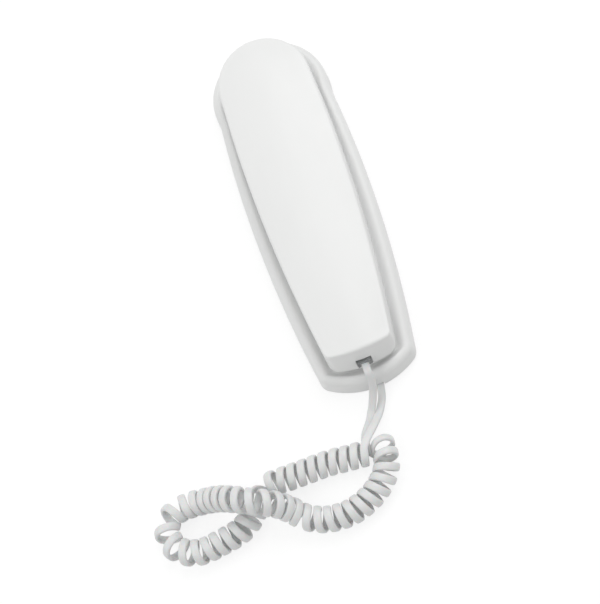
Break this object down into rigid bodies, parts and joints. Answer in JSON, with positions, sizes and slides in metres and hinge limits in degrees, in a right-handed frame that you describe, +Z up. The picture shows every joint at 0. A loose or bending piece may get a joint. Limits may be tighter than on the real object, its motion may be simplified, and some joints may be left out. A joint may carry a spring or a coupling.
{
  "type": "wall telephone",
  "caption": "Slim white push-button wall telephone: a lift-off handset lies face down on a dished base, with a curly cord lying in a loose figure-eight.",
  "frame": {"origin": "centre of the base on the table, cord left out", "axes": "+Y towards the earpiece end, +Z up from the table or out from the wall"},
  "size_m": [0.172, 0.2918, 0.0384],
  "materials": {
    "shell_plastic": "smooth satin moulded plastic",
    "plate_plastic": "fine grained moulded plastic",
    "key_plastic": "satin key caps",
    "function_key_plastic": "satin key caps",
    "jack_plastic": "moulded nylon",
    "plug_plastic": "clear moulded plastic",
    "cord_plastic": "soft smooth vinyl",
    "black_plastic": "moulded plastic",
    "foot_rubber": "soft matt rubber",
    "mat_rubber": "soft silicone rubber",
    "boot_rubber": "soft matt rubber",
    "screw_steel": "zinc plated",
    "spring_steel": "drawn wire",
    "ballast_steel": "zinc grey",
    "board_green": "glass fibre board with solder mask",
    "board_brown": "paper board",
    "ringer_brass": "rolled",
    "capsule_metal": "drawn can",
    "receiver_plastic": "moulded plastic"
  },
  "bodies": {
    "base": {"base_shell": "shell_plastic", "base_plate": "plate_plastic", "base_feet": "foot_rubber", "base_screws": "screw_steel", "base_weight": "ballast_steel", "base_board": "board_green", "hook_switch": "black_plastic", "plunger_spring": "spring_steel", "handset_hook": "shell_plastic", "ringer": "ringer_brass", "base_jack": "jack_plastic", "line_jack": "jack_plastic", "handset_lead": "cord_plastic", "curly_cord": "cord_plastic", "base_lead": "cord_plastic", "base_plug": "plug_plastic"},
    "handset": {"handset_front": "shell_plastic", "handset_back": "shell_plastic", "handset_screws": "screw_steel", "receiver_capsule": "receiver_plastic", "microphone_boot": "boot_rubber", "microphone_capsule": "capsule_metal", "keypad_mat": "mat_rubber", "keypad_board": "board_brown", "volume_switch": "black_plastic", "handset_jack": "jack_plastic", "handset_plug": "plug_plastic"},
    "hook_plunger": {"hook_plunger": "key_plastic"},
    "volume_slider": {"volume_slider": "function_key_plastic"},
    "key_1": {"key_1": "key_plastic"},
    "key_2": {"key_2": "key_plastic"},
    "key_3": {"key_3": "key_plastic"},
    "key_4": {"key_4": "key_plastic"},
    "key_5": {"key_5": "key_plastic"},
    "key_6": {"key_6": "key_plastic"},
    "key_7": {"key_7": "key_plastic"},
    "key_8": {"key_8": "key_plastic"},
    "key_9": {"key_9": "key_plastic"},
    "key_star": {"key_star": "key_plastic"},
    "key_0": {"key_0": "key_plastic"},
    "key_hash": {"key_hash": "key_plastic"},
    "key_redial": {"key_redial": "function_key_plastic"},
    "key_flash": {"key_flash": "function_key_plastic"},
    "key_mute": {"key_mute": "function_key_plastic"}
  },
  "joints": [
    {"name": "handset_lift", "type": "slide", "parent": "base", "child": "handset", "axis": [0, 0, 1], "range_m": [0, 0.06]},
    {"name": "hook_travel", "type": "slide", "parent": "base", "child": "hook_plunger", "axis": [0, 0, 1], "range_m": [0, 0.003], "deforming": ["plunger_spring"]},
    {"name": "volume_slide", "type": "slide", "parent": "handset", "child": "volume_slider", "axis": [1, 0, 0], "range_m": [-0.002, 0.002]},
    {"name": "key_1_press", "type": "slide", "parent": "handset", "child": "key_1", "axis": [0, 0, 1], "range_m": [0, 0.0012], "stiffness_N_per_m": 500},
    {"name": "key_2_press", "type": "slide", "parent": "handset", "child": "key_2", "axis": [0, 0, 1], "range_m": [0, 0.0012], "stiffness_N_per_m": 500},
    {"name": "key_3_press", "type": "slide", "parent": "handset", "child": "key_3", "axis": [0, 0, 1], "range_m": [0, 0.0012], "stiffness_N_per_m": 500},
    {"name": "key_4_press", "type": "slide", "parent": "handset", "child": "key_4", "axis": [0, 0, 1], "range_m": [0, 0.0012], "stiffness_N_per_m": 500},
    {"name": "key_5_press", "type": "slide", "parent": "handset", "child": "key_5", "axis": [0, 0, 1], "range_m": [0, 0.0012], "stiffness_N_per_m": 500},
    {"name": "key_6_press", "type": "slide", "parent": "handset", "child": "key_6", "axis": [0, 0, 1], "range_m": [0, 0.0012], "stiffness_N_per_m": 500},
    {"name": "key_7_press", "type": "slide", "parent": "handset", "child": "key_7", "axis": [0, 0, 1], "range_m": [0, 0.0012], "stiffness_N_per_m": 500},
    {"name": "key_8_press", "type": "slide", "parent": "handset", "child": "key_8", "axis": [0, 0, 1], "range_m": [0, 0.0012], "stiffness_N_per_m": 500},
    {"name": "key_9_press", "type": "slide", "parent": "handset", "child": "key_9", "axis": [0, 0, 1], "range_m": [0, 0.0012], "stiffness_N_per_m": 500},
    {"name": "key_star_press", "type": "slide", "parent": "handset", "child": "key_star", "axis": [0, 0, 1], "range_m": [0, 0.0012], "stiffness_N_per_m": 500},
    {"name": "key_0_press", "type": "slide", "parent": "handset", "child": "key_0", "axis": [0, 0, 1], "range_m": [0, 0.0012], "stiffness_N_per_m": 500},
    {"name": "key_hash_press", "type": "slide", "parent": "handset", "child": "key_hash", "axis": [0, 0, 1], "range_m": [0, 0.0012], "stiffness_N_per_m": 500},
    {"name": "key_redial_press", "type": "slide", "parent": "handset", "child": "key_redial", "axis": [0, 0, 1], "range_m": [0, 0.0012], "stiffness_N_per_m": 500},
    {"name": "key_flash_press", "type": "slide", "parent": "handset", "child": "key_flash", "axis": [0, 0, 1], "range_m": [0, 0.0012], "stiffness_N_per_m": 500},
    {"name": "key_mute_press", "type": "slide", "parent": "handset", "child": "key_mute", "axis": [0, 0, 1], "range_m": [0, 0.0012], "stiffness_N_per_m": 500}
  ],
  "couplings": [
    {"joint": "hook_travel", "follows": "handset_lift", "ratio": 0.05}
  ]
}
